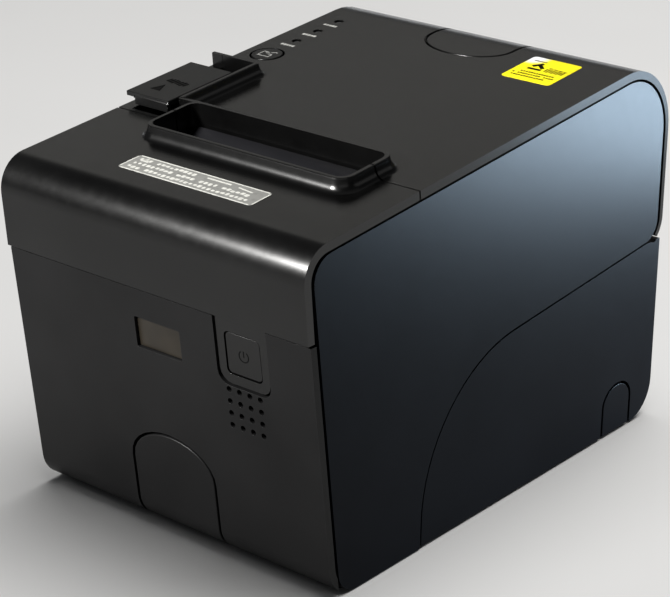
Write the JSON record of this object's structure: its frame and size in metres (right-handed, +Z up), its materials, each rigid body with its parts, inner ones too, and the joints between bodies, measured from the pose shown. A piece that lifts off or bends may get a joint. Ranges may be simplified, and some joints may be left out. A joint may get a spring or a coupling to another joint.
{
  "type": "receipt printer",
  "caption": "Box-shaped thermal receipt printer: top paper exit, drop-in roll bay under a rear-hinged lid, opening lever, feed and power buttons, rear connector bay.",
  "frame": {"origin": "centre of the footprint, on the plane of the rubber feet", "axes": "+Z up; the front face with the power button looks along -Y; +X is the right side seen from the front, so the opening lever is at -X"},
  "size_m": [0.14, 0.2143, 0.1478],
  "materials": {
    "front_cover": "fine textured black ABS",
    "front_panel": "fine textured black ABS",
    "front_knockout": "fine textured black ABS",
    "status_window": "smoked clear",
    "side_panel_right": "fine textured black ABS",
    "side_panel_left": "fine textured black ABS",
    "lower_case": "fine textured black ABS",
    "side_knockout_right": "fine textured black ABS",
    "side_knockout_left": "fine textured black ABS",
    "rubber_foot_1": "matt",
    "rubber_foot_2": "matt",
    "rubber_foot_3": "matt",
    "rubber_foot_4": "matt",
    "case_screw_1": "plain",
    "case_screw_2": "plain",
    "case_screw_3": "plain",
    "case_screw_4": "plain",
    "hinge_pin_left": "plain",
    "hinge_pin_right": "plain",
    "main_chassis": "moulded",
    "head_frame": "plain",
    "head_spring_left": "plain",
    "head_spring_right": "plain",
    "idler_axle": "plain",
    "feed_motor": "plain",
    "cutter_frame": "moulded",
    "cutter_motor": "plain",
    "main_board": "circuit board laminate",
    "io_panel": "plain",
    "dc_jack": "moulded",
    "usb_port": "plain",
    "lan_port": "plain",
    "drawer_port": "moulded",
    "buzzer": "moulded",
    "power_switch": "moulded",
    "roll_cover": "fine textured black ABS",
    "lid_rear_insert": "fine textured black ABS",
    "lid_switch_board": "circuit board laminate",
    "lid_frame": "moulded",
    "paper_guide": "moulded",
    "fixed_blade": "plain",
    "platen_bush_left": "nylon",
    "platen_bush_right": "nylon",
    "lever_spring": "plain",
    "status_light_1": "clear dark",
    "status_light_2": "clear dark",
    "status_light_3": "clear dark",
    "open_lever": "fine textured black ABS",
    "feed_button": "fine textured black ABS",
    "power_button": "fine textured black ABS",
    "platen_shaft": "plain",
    "platen_roller": "ground",
    "platen_gear": "nylon",
    "idler_gear": "nylon",
    "motor_pinion": "nylon",
    "motor_shaft": "plain",
    "print_head": "glazed ceramic",
    "heat_sink": "plain",
    "cutter_blade": "plain",
    "cutter_pinion": "nylon"
  },
  "bodies": {
    "case": {"front_cover": "front_cover", "front_panel": "front_panel", "front_knockout": "front_knockout", "status_window": "status_window", "side_panel_right": "side_panel_right", "side_panel_left": "side_panel_left", "lower_case": "lower_case", "side_knockout_right": "side_knockout_right", "side_knockout_left": "side_knockout_left", "rubber_foot_1": "rubber_foot_1", "rubber_foot_2": "rubber_foot_2", "rubber_foot_3": "rubber_foot_3", "rubber_foot_4": "rubber_foot_4", "case_screw_1": "case_screw_1", "case_screw_2": "case_screw_2", "case_screw_3": "case_screw_3", "case_screw_4": "case_screw_4", "hinge_pin_left": "hinge_pin_left", "hinge_pin_right": "hinge_pin_right", "main_chassis": "main_chassis", "head_frame": "head_frame", "head_spring_left": "head_spring_left", "head_spring_right": "head_spring_right", "idler_axle": "idler_axle", "feed_motor": "feed_motor", "cutter_frame": "cutter_frame", "cutter_motor": "cutter_motor", "main_board": "main_board", "io_panel": "io_panel", "dc_jack": "dc_jack", "usb_port": "usb_port", "lan_port": "lan_port", "drawer_port": "drawer_port", "buzzer": "buzzer", "power_switch": "power_switch"},
    "lid": {"roll_cover": "roll_cover", "lid_rear_insert": "lid_rear_insert", "lid_switch_board": "lid_switch_board", "lid_frame": "lid_frame", "paper_guide": "paper_guide", "fixed_blade": "fixed_blade", "platen_bush_left": "platen_bush_left", "platen_bush_right": "platen_bush_right", "lever_spring": "lever_spring", "status_light_1": "status_light_1", "status_light_2": "status_light_2", "status_light_3": "status_light_3"},
    "lever": {"open_lever": "open_lever"},
    "feed_key": {"feed_button": "feed_button"},
    "power_key": {"power_button": "power_button"},
    "platen": {"platen_shaft": "platen_shaft", "platen_roller": "platen_roller", "platen_gear": "platen_gear"},
    "idler": {"idler_gear": "idler_gear"},
    "motor_rotor": {"motor_pinion": "motor_pinion", "motor_shaft": "motor_shaft"},
    "head": {"print_head": "print_head", "heat_sink": "heat_sink"},
    "blade": {"cutter_blade": "cutter_blade"},
    "cutter_drive": {"cutter_pinion": "cutter_pinion"}
  },
  "joints": [
    {"name": "lid_hinge", "type": "hinge", "parent": "case", "child": "lid", "pos_m": [0, 0.1019, 0.0776], "axis": [-1, 0, 0], "range_deg": [0, 60]},
    {"name": "lever_push", "type": "slide", "parent": "lid", "child": "lever", "axis": [0, 0.9959, 0.0906], "range_m": [0, 0.009], "stiffness_N_per_m": 200, "springref_m": -0.002},
    {"name": "feed_press", "type": "slide", "parent": "lid", "child": "feed_key", "axis": [0, 0.0906, -0.9959], "range_m": [0, 0.0012], "stiffness_N_per_m": 600, "springref_m": -0.0005},
    {"name": "power_press", "type": "slide", "parent": "case", "child": "power_key", "axis": [0, 0.9929, 0.1187], "range_m": [0, 0.0015], "stiffness_N_per_m": 600, "springref_m": -0.0005},
    {"name": "platen_spin", "type": "hinge", "parent": "lid", "child": "platen", "pos_m": [0, -0.042, 0.116], "axis": [1, 0, 0], "continuous": true},
    {"name": "idler_spin", "type": "hinge", "parent": "case", "child": "idler", "pos_m": [0, -0.0479, 0.09377], "axis": [1, 0, 0], "continuous": true},
    {"name": "motor_spin", "type": "hinge", "parent": "case", "child": "motor_rotor", "pos_m": [0, -0.0642, 0.084], "axis": [1, 0, 0], "continuous": true},
    {"name": "head_press", "type": "slide", "parent": "case", "child": "head", "axis": [0, -1, 0], "range_m": [0, 0.0007], "stiffness_N_per_m": 3000, "springref_m": -0.001},
    {"name": "blade_slide", "type": "slide", "parent": "case", "child": "blade", "axis": [0, 1, 0], "range_m": [0, 0.008]},
    {"name": "cutter_spin", "type": "hinge", "parent": "case", "child": "cutter_drive", "pos_m": [0.0496, -0.076, 0.124], "axis": [0, 0, -1], "range_deg": [0, 76.5]}
  ],
  "couplings": [
    {"joint": "idler_spin", "follows": "platen_spin", "ratio": -0.64286},
    {"joint": "motor_spin", "follows": "platen_spin", "ratio": 1.8},
    {"joint": "cutter_spin", "follows": "blade_slide", "rad_per_m": 166.67}
  ]
}
